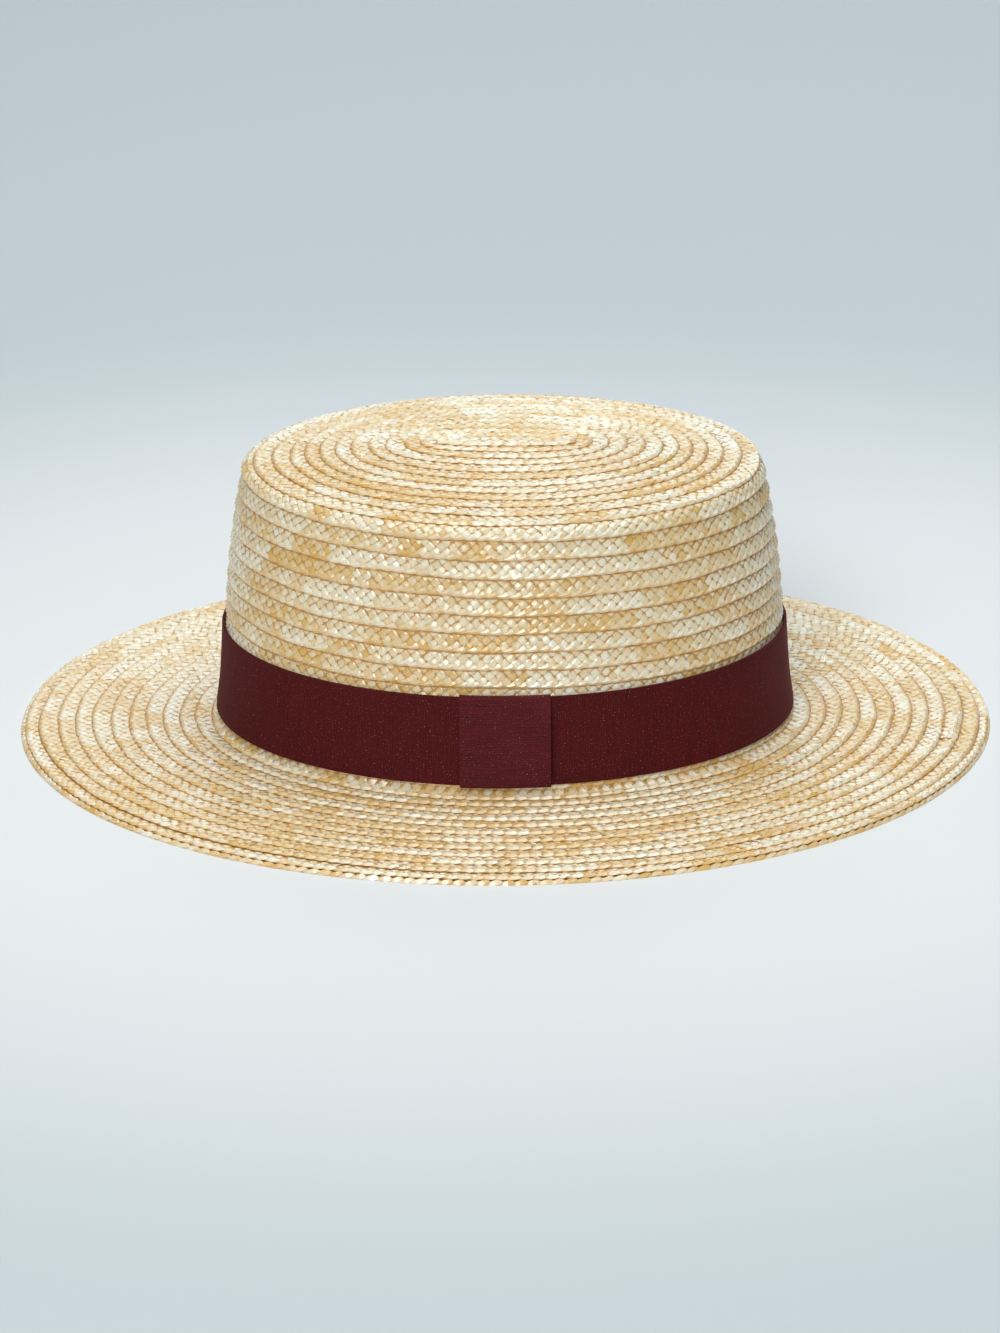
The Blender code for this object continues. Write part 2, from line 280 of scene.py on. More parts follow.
class PlaitSettings(bpy.types.PropertyGroup):
    """Sizes and colours of the straw plait."""

    stitch: bpy.props.FloatProperty(
        name="Stitch", description="Length of plait taken up by one crossing", default=0.0042,
        unit="LENGTH", precision=4)
    straw_width: bpy.props.FloatProperty(
        name="Straw width", description="Width of one flattened straw", default=0.00278, unit="LENGTH",
        precision=4)
    straw_thickness: bpy.props.FloatProperty(
        name="Straw thickness", description="Thickness of a straw in its middle", default=0.00027,
        unit="LENGTH", precision=4)
    crossing_lift: bpy.props.FloatProperty(
        name="Crossing lift", description="How far a straw rises over and dips under the others",
        default=0.00022, unit="LENGTH", precision=5)
    row_step: bpy.props.FloatProperty(
        name="Row step", description="How far each row stands proud of the next one it laps over",
        default=0.0006, unit="LENGTH", precision=4)
    straw_length: bpy.props.FloatProperty(
        name="Straw length", description="Length of plait after which a straw is replaced by the next",
        default=0.17, unit="LENGTH")
    cream: bpy.props.FloatVectorProperty(
        name="Cream straw", description="Colour of the palest straws", default=(0.93, 0.87, 0.70),
        subtype="COLOR", min=0.0, max=1.0)
    golden: bpy.props.FloatVectorProperty(
        name="Golden straw", description="Colour of the deepest straws", default=(0.72, 0.43, 0.11),
        subtype="COLOR", min=0.0, max=1.0)
    # Also the colour of the painted shade deep in the plait and of the painted shadow line under each row
    edge_and_shade: bpy.props.FloatVectorProperty(
        name="Straw edges", description="Colour of the straws' cut sides", default=(0.58, 0.26, 0.028),
        subtype="COLOR", min=0.0, max=1.0)


class RibbonSettings(bpy.types.PropertyGroup):
    """Sizes and colours of the ribbon and its keeper."""

    rib_pitch: bpy.props.FloatProperty(
        name="Rib pitch", description="Distance between the ribs of the grosgrain", default=0.0006,
        unit="LENGTH", precision=4)
    rib_depth: bpy.props.FloatProperty(
        name="Rib depth", description="Depth of the ribs", default=0.00008, unit="LENGTH", precision=5)
    keeper_lift: bpy.props.FloatProperty(
        name="Keeper lift", description="How far the keeper's loose edge stands off the ribbon",
        default=0.0024, unit="LENGTH", precision=4)
    keeper_shift: bpy.props.FloatProperty(
        name="Keeper shift", description="How far the keeper sits off the middle of the front",
        default=0.0016, unit="LENGTH", precision=4)
    band_colour: bpy.props.FloatVectorProperty(
        name="Band colour", description="Wine red of the band", default=(0.085, 0.0050, 0.0068),
        subtype="COLOR", min=0.0, max=1.0)
    # Lighter and more purple than the band's colour though it is the same ribbon: painted light
    keeper_lit_colour: bpy.props.FloatVectorProperty(
        name="Keeper colour", description="The same ribbon turned upright",
        default=(0.101, 0.0098, 0.0150), subtype="COLOR", min=0.0, max=1.0)


class StageSettings(bpy.types.PropertyGroup):
    """Floor and lights."""

    floor_colour: bpy.props.FloatVectorProperty(
        name="Floor", description="Colour of the floor", default=(0.735, 0.75, 0.75), subtype="COLOR",
        min=0.0, max=1.0)
    far_floor_colour: bpy.props.FloatVectorProperty(
        name="Far floor", description="Colour of the floor far from the hat", default=(0.52, 0.575, 0.60),
        subtype="COLOR", min=0.0, max=1.0)
    key_power: bpy.props.FloatProperty(
        name="Key light", description="Strength of the main soft light", default=35.0, unit="POWER")
    front_power: bpy.props.FloatProperty(
        name="Front light", description="Strength of the low light in front of the hat", default=16.0,
        unit="POWER")
    top_power: bpy.props.FloatProperty(
        name="Top light", description="Strength of the light from above", default=41.0, unit="POWER")
    back_power: bpy.props.FloatProperty(
        name="Back light", description="Strength of the low light behind the hat", default=17.0,
        unit="POWER")
    sky_strength: bpy.props.FloatProperty(
        name="Room light", description="Strength of the even light of the room", default=0.11)


def lean_at(share):
    """The lean of the crown's side at a share of its height."""
    return np.interp(share, [low for low, lean in SIDE_LEAN], [lean for low, lean in SIDE_LEAN])


def side_half_length(height):
    """Half the crown's length over its row edges, at a height on its side."""
    share = (height - JOINT_HEIGHT) / (SIDE_TOP - JOINT_HEIGHT)
    return CROWN_BASE_HALF + (CROWN_TOP_HALF - CROWN_BASE_HALF) * lean_at(np.maximum(share, 0.0))


def oval_points(half_length, height, turn):
    """Points of the ovals with these half lengths, at shares of a turn from the +X end."""
    half_width = half_length - OVAL_EXCESS
    fullness = 2.0 + np.exp(-np.abs(half_width) / ROUNDING_WIDTH)
    angle = 2 * math.pi * turn
    along = np.sign(np.cos(angle)) * np.abs(np.cos(angle)) ** (2 / fullness)
    across = np.sign(np.sin(angle)) * np.abs(np.sin(angle)) ** (2 / fullness)
    return np.stack(np.broadcast_arrays(half_length * along, half_width * across, height), axis=-1)


class Walk:
    """The hat's profile over its row edges, from just before the middle of the tip to the brim's edge."""

    def __init__(self):
        corners = np.array(self.tip() + self.shoulder() + self.side() + self.turn_up() + self.brim())
        spans = np.hypot(*np.diff(corners, axis=0).T)
        places = np.concatenate([[0.0], np.cumsum(spans)])
        middle = np.interp(OVAL_EXCESS, corners[:len(self.tip()), 0], places[:len(self.tip())])
        self.place = np.arange(0.0, places[-1] + WALK_STEP, WALK_STEP) - middle
        self.half = np.interp(self.place + middle, places, corners[:, 0])
        self.height = np.interp(self.place + middle, places, corners[:, 1])
        slope_half = np.gradient(self.half)
        slope_height = np.gradient(self.height)
        size = np.hypot(slope_half, slope_height)
        self.out_half = -slope_height / size
        self.out_height = slope_half / size
        self.end = places[-1] - middle

    @staticmethod
    def tip():
        """The domed tip."""
        edge_width = CROWN_TOP_HALF - SHOULDER_INSET - OVAL_EXCESS
        widths = np.linspace(-WALK_BEFORE_MIDDLE, edge_width, TIP_SAMPLES)[:-1]
        heights = TIP_EDGE_HEIGHT + TIP_RISE * (1 - (widths / edge_width) ** 2)
        return list(zip(OVAL_EXCESS + widths, heights))

    @staticmethod
    def shoulder():
        """The rounded shoulder."""
        edge_half = CROWN_TOP_HALF - SHOULDER_INSET
        angles = np.linspace(0.0, math.pi / 2, SHOULDER_SAMPLES)[:-1]
        return [
            (edge_half + SHOULDER_INSET * math.sin(a),
             TIP_EDGE_HEIGHT - SHOULDER_DROP * (1 - math.cos(a)))
            for a in angles
        ]

    @staticmethod
    def side():
        """The leaning side."""
        heights = np.linspace(SIDE_TOP, JOINT_HEIGHT, SIDE_SAMPLES)
        return [(side_half_length(height), height) for height in heights]

    @staticmethod
    def turn_up():
        """The tight turn from the side into the brim."""
        middle = CROWN_BASE_HALF + TURN_RADIUS
        angles = np.linspace(0.0, math.pi / 2, TURN_UP_SAMPLES)[1:]
        return [
            (middle - TURN_RADIUS * math.cos(a), JOINT_HEIGHT - TURN_RADIUS * math.sin(a))
            for a in angles
        ]

    @staticmethod
    def brim():
        """The brim, falling slightly to its edge."""
        start = CROWN_BASE_HALF + TURN_RADIUS
        top = JOINT_HEIGHT - TURN_RADIUS
        shares = np.linspace(0.0, 1.0, BRIM_SAMPLES)[1:]
        return [(start + (BRIM_HALF - start) * share, top - BRIM_RISE * share) for share in shares]

    def points(self, place, level, turn):
        """Points at places along the profile, at levels out from it, at a share of a turn round it."""
        half = np.interp(place, self.place, self.half)
        height = np.interp(place, self.place, self.height)
        out_half = np.interp(place, self.place, self.out_half)
        out_height = np.interp(place, self.place, self.out_height)
        return oval_points(half + level * out_half, height + level * out_height, turn)


def row_edge(turns):
    """Where the plait's outer edge lies along the profile after this many turns."""
    knots = np.array(ROW_PLACES)
    shifts = (0.0, -ROW_SMOOTHING, ROW_SMOOTHING)
    return sum(np.interp(turns + shift, knots[:, 0], knots[:, 1]) for shift in shifts) / len(shifts)


class Sewing:
    """A line that plait is sewn along, with a table of turns and of the length of plait up to each."""

    def measure(self, spine):
        """Fill the table from points on the plait's middle line, one for each of the turns."""
        steps = np.linalg.norm(np.diff(spine, axis=0), axis=1)
        self.lengths = np.concatenate([[0.0], np.cumsum(steps)])

    def length_at(self, turns):
        """The length of plait sewn after this many turns."""
        return float(np.interp(turns, self.turns, self.lengths))


class Winding(Sewing):
    """The spiral that the plait is sewn in: it turns places on the flat plait into places on the hat."""

    def __init__(self, plait):
        self.walk = Walk()
        self.row_step = plait.row_step
        self.half_depth = plait.straw_thickness / 2 + plait.crossing_lift
        self.edge_and_shade_strength = 1.0
        self.turns = np.linspace(0.0, LAST_TURN, int(LAST_TURN * TABLE_PARTS) + 1)
        middle = row_edge(self.turns) - PLAIT_MIDDLE
        self.measure(self.walk.points(middle, 0.0, self.turns + START_TURN))

    @staticmethod
    def waver(along, turns):
        """How far the sewn row strays outwards here."""
        stray = sum(size * np.sin(along * 2 * math.pi / length) for length, size in WAVERS)
        return stray * np.clip(LAST_TURN - turns, 0.0, 1.0)

    def cover(self, along, inward):
        """Millimetres that a place lies under the row sewn over it, less than nothing where it shows."""
        turns = np.interp(along, self.lengths, self.turns)
        before = np.interp(turns - 1, self.turns, self.lengths)
        place = row_edge(turns) + self.waver(along, turns) - inward
        edge = row_edge(turns - 1) + self.waver(before, turns - 1)
        return np.where(turns < 1, UNCOVERED, (edge - place) * 1000)

    def points(self, along, inward, lift):
        """Points of the plait: metres along it, in from its outer edge, and up from its middle plane."""
        turns = np.interp(along, self.lengths, self.turns)
        pitch = np.clip(row_edge(turns) - row_edge(turns - 1), *PITCH_LIMITS)
        tilt = np.interp(turns, TILT_TURNS, (0.0, 1.0))
        sink = np.clip((turns - (LAST_TURN - SINK_TURNS)) / SINK_TURNS, 0.0, 1.0) * SINK_DEPTH
        inward = inward - self.waver(along, turns)
        droop = np.interp(turns, DROOP_TURNS, (0.0, DROOP_DEPTH)) * (1.0 - inward / LEVELS[-1])
        level = lift - self.half_depth - self.row_step * tilt * inward / pitch - sink - droop
        return self.walk.points(row_edge(turns) - inward, level, turns + START_TURN)


class JoinWinding(Winding):
    """The end of one length of plait, which lies on the start of the next."""

    def cover(self, along, inward):
        """Millimetres that a place lies under the row sewn over it, less than nothing where it shows."""
        return super().cover(along, inward + JOIN_SHIFT)

    def points(self, along, inward, lift):
        """Points of the plait: metres along it, in from its outer edge, and up from its middle plane."""
        return super().points(along, inward + JOIN_SHIFT, lift + JOIN_LIFT)


class EdgeWinding(Sewing):
    """The last turn of the plait, sewn flat under the brim's edge and a little proud of it."""

    def __init__(self, plait):
        self.half_depth = plait.straw_thickness / 2 + plait.crossing_lift
        self.scale = EDGE_ROW_HEIGHT / (2 * self.half_depth)
        # Less of the amber sides and of the painted shade on the edge row
        self.edge_and_shade_strength = EDGE_ROW_EDGE_AND_SHADE
        self.turns = np.linspace(0.0, 1.0, TABLE_PARTS + 1)
        self.measure(oval_points(BRIM_HALF_WITH_EDGE_ROW - PLAIT_MIDDLE, 0.0, self.turns))

    def cover(self, along, inward):
        """Millimetres that a place lies under the brim's last row."""
        share = np.interp(along, self.lengths, self.turns)
        above = LAST_TURN - (LAST_TURN + START_TURN - share) % 1
        short = row_edge(LAST_TURN) - row_edge(above)
        return (inward - short - EDGE_ROW_SHOWS) * 1000

    def points(self, along, inward, lift):
        """Points of the edge row: metres along it, in from its outer edge, and up from its middle."""
        turns = np.interp(along, self.lengths, self.turns)
        height = EDGE_ROW_HEIGHT / 2 + lift * self.scale
        return oval_points(BRIM_HALF_WITH_EDGE_ROW - inward, height, turns)


def strand_cycle(stitch):
    """One cycle of a strand: place along in steps, metres inward, side, and its sideways direction."""
    steps = np.repeat(np.arange(CYCLE_STEPS), len(SAMPLE_OFFSETS))
    offsets = np.tile(SAMPLE_OFFSETS, CYCLE_STEPS)
    fine = np.arange(-CYCLE_STEPS, 2 * CYCLE_STEPS + 1)
    climb = np.abs((fine + CYCLE_STEPS // 2) % CYCLE_STEPS - CYCLE_STEPS // 2)
    inward = np.interp(steps + offsets, fine, np.array(LEVELS)[climb])
    share = np.abs(offsets) ** APEX_POWER
    inward = np.where(steps == 0, LEVELS[0] + (LEVELS[1] - LEVELS[0]) * share, inward)
    inward = np.where(steps == CYCLE_STEPS // 2, LEVELS[-1] - (LEVELS[-1] - LEVELS[-2]) * share, inward)
    sides = np.array(SIDES)[steps].astype(float)
    sides = np.where(sides == 0, np.sign(offsets) * APEX_SIDE, sides)
    along = (steps + offsets) * stitch / 2
    cycle = CYCLE_STEPS * stitch / 2
    before = np.roll(along, 1) - np.array([cycle] + [0.0] * (len(along) - 1))
    after = np.roll(along, -1) + np.array([0.0] * (len(along) - 1) + [cycle])
    run = np.stack([after - before, np.roll(inward, -1) - np.roll(inward, 1)], axis=-1)
    run /= np.linalg.norm(run, axis=1, keepdims=True)
    return along, inward, sides, np.stack([-run[:, 1], run[:, 0]], axis=-1)


def straw_tones(random, along, strand, straw_length):
    """Which straw each sample belongs to, with its tone: three strands of cream straw, two of golden."""
    count = int(along[-1] / straw_length * SPARE_STRAWS[0]) + SPARE_STRAWS[1]
    lengths = straw_length * random.uniform(*STRAW_LENGTH_RANGE, count)
    ends = np.cumsum(lengths) - straw_length * random.uniform(0.0, 1.0)
    straw = np.searchsorted(ends, along)
    cream = strand < CREAM_STRANDS
    swapped = random.uniform(size=count + 1) < SWAPPED_STRAWS
    pale = np.where(swapped, not cream, cream)
    tone = np.where(pale, random.normal(*CREAM_TONES, count + 1), random.normal(*GOLDEN_TONES, count + 1))
    seed = random.uniform(size=count + 1)
    return tone[straw], seed[straw]


def stretch_tones(along):
    """The tone that all the strands share over each short stretch of the plait."""
    random = np.random.default_rng(STRETCH_SEED)
    ends = np.cumsum(random.uniform(*STRETCH_LENGTHS, STRETCH_COUNT))
    count = STRETCH_COUNT + 1
    pale = random.uniform(size=count) < PALE_STRETCHES
    tones = np.where(pale, random.normal(*PALE_TONES, count), random.normal(*DEEP_TONES, count))
    return tones[np.searchsorted(ends, along)]


def strand_samples(plait, strand, end):
    """Every sample of one strand over the whole plait, as named columns."""
    cycle_along, cycle_inward, cycle_sides, cycle_across = strand_cycle(plait.stitch)
    cycle_length = CYCLE_STEPS * plait.stitch / 2
    cycles = int(end / cycle_length) + SPARE_CYCLES
    start = -strand * cycle_length / STRANDS
    repeat = np.repeat(np.arange(cycles), len(cycle_along))
    along = np.tile(cycle_along, cycles) + repeat * cycle_length + start
    inward = np.tile(cycle_inward, cycles)
    random = np.random.default_rng(STRAND_SEED + strand)
    offsets = len(SAMPLE_OFFSETS)
    facets = len(along) // offsets

    def spread(name):
        """A small change for each facet of the strand."""
        return np.repeat(random.normal(0.0, SPREADS[name], facets), offsets)

    width = plait.straw_width * np.interp(inward, LEVELS, WIDTH_SHARES) * (1 + spread("width"))
    thickness = plait.straw_thickness * np.interp(inward, LEVELS, THICKNESS_SHARES)
    thickness = thickness * (1 + spread("thickness"))
    tone, seed = straw_tones(random, along, strand, plait.straw_length)
    centre = np.repeat(along.reshape(facets, offsets).mean(axis=1), offsets)
    tone = tone + STRETCH_WEIGHT * (stretch_tones(centre) - tone)
    return {
        "along": along + spread("along"),
        "inward": inward + spread("inward"),
        "lift": np.tile(cycle_sides, cycles) * plait.crossing_lift + spread("lift"),
        "across": np.tile(cycle_across, (cycles, 1)),
        "width": width,
        "thickness": thickness,
        "roll": np.clip(spread("roll"), -ROLL_LIMIT, ROLL_LIMIT),
        "tone": np.clip(tone + spread("tone"), 0.0, 1.0),
        "seed": seed,
        "seam": np.clip(SEAM_MIDDLE + spread("seam"), *SEAM_LIMITS),
    }


def strand_stretch(plait, strand, winding, start, end):
    """The samples of one strand from start to end in metres along the plait."""
    samples = strand_samples(plait, strand, winding.lengths[-1])
    inside = np.nonzero((samples["along"] >= start) & (samples["along"] <= end))[0]
    kept = slice(max(inside[0] - 1, 0), inside[-1] + 1)
    samples = {key: value[kept] for key, value in samples.items()}
    samples["along"] = np.clip(samples["along"], 0.0, winding.lengths[-1])
    return samples


def strand_tube(samples, winding):
    """One strand on the hat: the corners of its section at each sample, with what the material reads."""
    points, depths, covers = [], [], []
    for share, height in SECTION:
        reach = samples["width"] / 2 * share
        along = samples["along"] + samples["across"][:, 0] * reach
        inward = samples["inward"] + samples["across"][:, 1] * reach
        lift = samples["lift"] + samples["thickness"] * height + samples["roll"] * reach
        # How deep each corner lies in the plait, which the material paints as shade; less of it on the edge
        # row
        depths.append((winding.half_depth - lift) / (2 * winding.half_depth) * winding.edge_and_shade_strength)
        covers.append(winding.cover(along, inward))
        if share != 0.0:
            fold = np.clip(1.0 - inward / FOLD_REACH, 0.0, 1.0)
            lift = lift * (1.0 - fold) - winding.half_depth * FOLD_DEPTH * fold
        swell = RIDGE_SWELL * np.sin(math.pi * np.clip(inward / RIDGE_WIDTH, 0.0, 1.0))
        points.append(winding.points(along, np.maximum(inward, 0.0), lift + swell))
    corners = len(SECTION)
    across = np.tile([-share for share, height in SECTION], len(samples["along"]))
    along, seed = np.repeat(samples["along"], corners), np.repeat(samples["seed"], corners)
    return {
        "points": np.stack(points, axis=1).reshape(-1, 3),
        "straw_seam": np.repeat(samples["seam"] * winding.edge_and_shade_strength, corners),
        "straw_cover": np.stack(covers, axis=1).ravel(),
        "straw_tone": np.repeat(samples["tone"], corners),
        "straw_depth": np.clip(np.stack(depths, axis=1), 0.0, 1.0).ravel(),
        "straw_place": np.stack([along, across, seed], axis=-1),
        "backs": (0.0, 0.0, 1.0),
        "bands": STRAND_BANDS,
    }


def core_tube(winding, start, end):
    """The core on the hat, from start to end in metres along the plait, as a strand's tube."""
    count = math.ceil((end - start) / CORE_STEP) + 1
    inward, middle = np.array(CORE_PROFILE).T
    inward = np.concatenate([inward, inward[::-1]])
    lift = np.concatenate([middle + CORE_THICKNESS / 2, middle[::-1] - CORE_THICKNESS / 2])
    along = np.repeat(np.linspace(start, end, count), CORE_CORNERS)
    return {
        "points": winding.points(along, np.tile(inward, count), np.tile(lift, count)),
        "straw_seam": np.zeros_like(along),
        "straw_cover": np.full_like(along, CORE_COVER),
        "straw_tone": np.full_like(along, CORE_TONE),
        # Wholly deep, so painted shade all over
        "straw_depth": np.ones_like(along),
        "straw_place": np.stack([along, np.zeros_like(along), np.full_like(along, CORE_SEED)], axis=-1),
        "backs": (0.0,) * CORE_CORNERS,
        "bands": CORE_BANDS,
    }


def tube_faces(count, corners):
    """Faces of a closed tube with this many sections: quads along it, side by side, and its two ends."""
    first = np.arange(count - 1)[:, None] * corners
    quads = []
    for corner in range(corners):
        after = (corner + 1) % corners
        quads.append(first + np.array([corner, after, corners + after, corners + corner]))
    last = (count - 1) * corners
    ends = [np.arange(corners)[::-1], last + np.arange(corners)]
    return np.concatenate(quads), np.array(ends)


def bake_places(count, offset, columns, rows, bands):
    """Places in the bake map for one strand's quads: its length runs in rows of small cells."""
    segment = np.arange(count - 1) + offset
    left = (segment % columns) / columns
    right = left + 1 / columns
    base = (segment // columns) / rows
    places = []
    for low, high in bands:
        low_v, high_v = base + low / rows, base + high / rows
        places.append(np.stack([
            np.stack([left, low_v], axis=-1),
            np.stack([left, high_v], axis=-1),
            np.stack([right, high_v], axis=-1),
            np.stack([right, low_v], axis=-1),
        ], axis=1))
    return np.concatenate(places)


def new_mesh(name, points, faces):
    """A smooth mesh from its points and a list of arrays of faces, each with its own corner count."""
    mesh = bpy.data.meshes.new(name)
    loops = np.concatenate([part.ravel() for part in faces])
    sizes = np.concatenate([np.full(len(part), part.shape[1]) for part in faces])
    starts = np.concatenate([[0], np.cumsum(sizes)[:-1]])
    mesh.vertices.add(len(points))
    mesh.vertices.foreach_set("co", points.astype(np.float32).ravel())
    mesh.loops.add(len(loops))
    mesh.loops.foreach_set("vertex_index", loops.astype(np.int32))
    mesh.polygons.add(len(sizes))
    mesh.polygons.foreach_set("loop_start", starts.astype(np.int32))
    mesh.update(calc_edges=True)
    mesh.validate()
    mesh.shade_smooth()
    return mesh


def keep_values(mesh, name, values, domain="POINT"):
    """Keep one number or three numbers for each point or face, for the material to read."""
    values = np.asarray(values, dtype=np.float32)
    kind, field = ("FLOAT", "value") if values.ndim == 1 else ("FLOAT_VECTOR", "vector")
    attribute = mesh.attributes.new(name, kind, domain)
    attribute.data.foreach_set(field, values.ravel())


def keep_map(mesh, name, places):
    """Keep a flat map of the faces' corners."""
    layer = mesh.uv_layers.new(name=name)
    layer.data.foreach_set("uv", places.astype(np.float32).ravel())


def add_piece(name, mesh, material, slot, *nodes):
    """Put a piece on the hat's one body, in place of these solids."""
    mesh.materials.append(material)
    piece = bpy.data.objects.new(name, mesh)
    bpy.context.scene.collection.objects.link(piece)
    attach(piece, "root")
    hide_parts(*nodes)
    return piece


def plait_mesh(name, plait, winding, start, end):
    """The five strands and the core of a stretch of plait, from start to end in metres along it."""
    stretches = [strand_stretch(plait, strand, winding, start, end) for strand in range(STRANDS)]
    tubes = [strand_tube(samples, winding) for samples in stretches] + [core_tube(winding, start, end)]
    counts = [len(tube["points"]) // len(tube["backs"]) for tube in tubes]
    segments = sum(counts) - len(counts)
    columns = max(1, round(math.sqrt(segments * MAP_SHAPE)))
    rows = math.ceil(segments / columns)
    quads, ends, places, backs = [], [], [], []
    offset, base = 0, 0
    for tube, count in zip(tubes, counts):
        corners = len(tube["backs"])
        tube_quads, tube_ends = tube_faces(count, corners)
        quads.append(tube_quads + base)
        ends.append(tube_ends + base)
        places.append(bake_places(count, offset, columns, rows, tube["bands"]).reshape(-1, 2))
        backs.append(np.repeat(tube["backs"], count - 1))
        offset += count - 1
        base += count * corners
    points = np.concatenate([tube["points"] for tube in tubes])
    mesh = new_mesh(name, points, [np.concatenate(quads), np.concatenate(ends[:-1]), ends[-1]])
    backs.append(np.zeros(sum(len(tube_ends) for tube_ends in ends)))
    keep_values(mesh, "straw_back", np.concatenate(backs), "FACE")
    for value in ("straw_seam", "straw_cover", "straw_tone", "straw_depth", "straw_place"):
        keep_values(mesh, value, np.concatenate([tube[value] for tube in tubes]))
    places.append(np.full((sum(tube_ends.size for tube_ends in ends), 2), 0.5 / columns))
    keep_map(mesh, "OFBake", np.concatenate(places))
    mesh.set_sharp_from_angle(angle=CREASE_ANGLE)
    return mesh


def ribbon_half_length(height):
    """Half the length inside the ribbon."""
    return side_half_length(height) + FIT_GAP


def band_mesh(ribbon):
    """The ribbon round the foot of the crown, with upright ribs and finely notched edges."""
    heights = RIBBON_BOTTOM + RIBBON_WIDTH * np.linspace(0.0, 1.0, RIBBON_ROWS)
    shares = np.linspace(0.0, 1.0, RIBBON_SAMPLES)
    outer = oval_points(ribbon_half_length(RIBBON_BOTTOM), 0.0, shares)
    lengths = np.concatenate([[0.0], np.cumsum(np.linalg.norm(np.diff(outer, axis=0), axis=1))])
    ribs = round(lengths[-1] / ribbon.rib_pitch)
    columns = 2 * ribs
    along = lengths[-1] * np.arange(columns) / columns
    turns = np.interp(along, lengths, shares)
    crest = np.where(np.arange(columns) % 2 == 0, 0.0, -ribbon.rib_depth)
    profile = [(ribbon_half_length(h) + RIBBON_THICKNESS, h, 1.0) for h in heights]
    profile += [(ribbon_half_length(h), h, 0.0) for h in heights[::-1]]
    points, places = [], []
    for half, height, ribbed in profile:
        edge = height in (heights[0], heights[-1])
        notch = crest * (1.0 if height == heights[-1] else -1.0) if edge else 0.0
        points.append(oval_points(half + crest * ribbed, height + notch, turns))
        places.append(np.stack([along, np.full(columns, height), np.full(columns, ribbed)], axis=-1))
    return ring_mesh("ribbon_band", points, places)


def ring_mesh(name, rings, places):
    """A closed tube of rings, joined in order and back to the first."""
    count, columns = len(rings), len(rings[0])
    ring, column = np.meshgrid(np.arange(count), np.arange(columns), indexing="ij")
    after_ring, after_column = (ring + 1) % count, (column + 1) % columns
    corners = (ring * columns + column, ring * columns + after_column,
               after_ring * columns + after_column, after_ring * columns + column)
    faces = np.stack([corner.ravel() for corner in corners], axis=-1)
    mesh = new_mesh(name, np.concatenate(rings), [faces])
    keep_values(mesh, "rib_place", np.concatenate(places))
    mesh.set_sharp_from_angle(angle=RIBBON_CREASE)
    return mesh


def keeper_section(ribbon):
    """The keeper's closed section, which starts and ends behind the ribbon's top edge: out, height."""
    top = RIBBON_BOTTOM + RIBBON_WIDTH + KEEPER_EDGE_GAP
    bottom = RIBBON_BOTTOM - KEEPER_EDGE_GAP
    face = RIBBON_THICKNESS + FIT_GAP
    outside = face + RIBBON_THICKNESS
    rows = 2 * round((top - bottom) / ribbon.rib_pitch)
    bends = [
        (face + RIBBON_THICKNESS * math.sin(angle), KEEPER_FOLD * math.cos(angle))
        for angle in np.linspace(0.0, math.pi / 2, KEEPER_FOLD_STEPS)
    ]
    section = [(0.0, top + KEEPER_FOLD), (face * KEEPER_TUCKS[0], top + KEEPER_FOLD)]
    section += [(out, top + rise) for out, rise in bends]
    for row in range(1, rows):
        rib = -ribbon.rib_depth if row % 2 else 0.0
        section.append((outside + rib, top + (bottom - top) * row / rows))
    section += [(out, bottom - rise) for out, rise in reversed(bends)]
    tuck = face * KEEPER_TUCKS[1]
    section += [(tuck, bottom - KEEPER_FOLD), (tuck, bottom), (face, bottom), (face, top), (0.0, top)]
    return section


def keeper_mesh(ribbon):
    """The loop of ribbon over the band's join. Its right side stands a little off the band."""
    section = keeper_section(ribbon)
    points, places = [], []
    for column in range(KEEPER_COLUMNS + 1):
        share = column / KEEPER_COLUMNS
        across = KEEPER_WIDTH * (share - 0.5) + ribbon.keeper_shift
        loose = max(0.0, (share - KEEPER_LOOSE_FROM) / (1 - KEEPER_LOOSE_FROM)) ** KEEPER_LIFT_POWERS[0]
        for out, height in section:
            share_up = (height - RIBBON_BOTTOM) / RIBBON_WIDTH
            middle = max(0.0, 1.0 - abs(2 * share_up - 1.0) ** KEEPER_LIFT_POWERS[1])
            lift = ribbon.keeper_lift * loose * middle * (out > 0.0)
            half = ribbon_half_length(height) + out + lift
            depth = (half - OVAL_EXCESS) * math.sqrt(1 - (across / half) ** 2)
            points.append((across, -depth, height))
            places.append((across, height, 1.0))
    count = len(section)
    column, index = np.meshgrid(np.arange(KEEPER_COLUMNS) * count, np.arange(count), indexing="ij")
    after = (index + 1) % count
    corners = (column + after, column + count + after, column + count + index, column + index)
    quads = np.stack(corners, axis=-1)
    ends = [np.arange(count)[None, :], (np.arange(count) + KEEPER_COLUMNS * count)[None, ::-1]]
    mesh = new_mesh("ribbon_keeper", np.array(points), [quads.reshape(-1, 4)] + ends)
    keep_values(mesh, "rib_place", np.array(places))
    mesh.set_sharp_from_angle(angle=RIBBON_CREASE)
    return mesh


def node(tree, kind, inputs=(), **settings):
    """Add a node, set its fields, and set or link its inputs: pairs of a socket name and a value."""
    made = tree.nodes.new(kind)
    for name, value in settings.items():
        setattr(made, name, value)
    for name, value in inputs:
        socket = made.inputs[name]
        if isinstance(value, bpy.types.NodeSocket):
            tree.links.new(value, socket)
        else:
            socket.default_value = value
    return made


def maths(tree, operation, first, second=0.5, clamp=False):
    """A Math node's result."""
    made = node(tree, "ShaderNodeMath", [(0, first), (1, second)], operation=operation, use_clamp=clamp)
    return made.outputs[0]


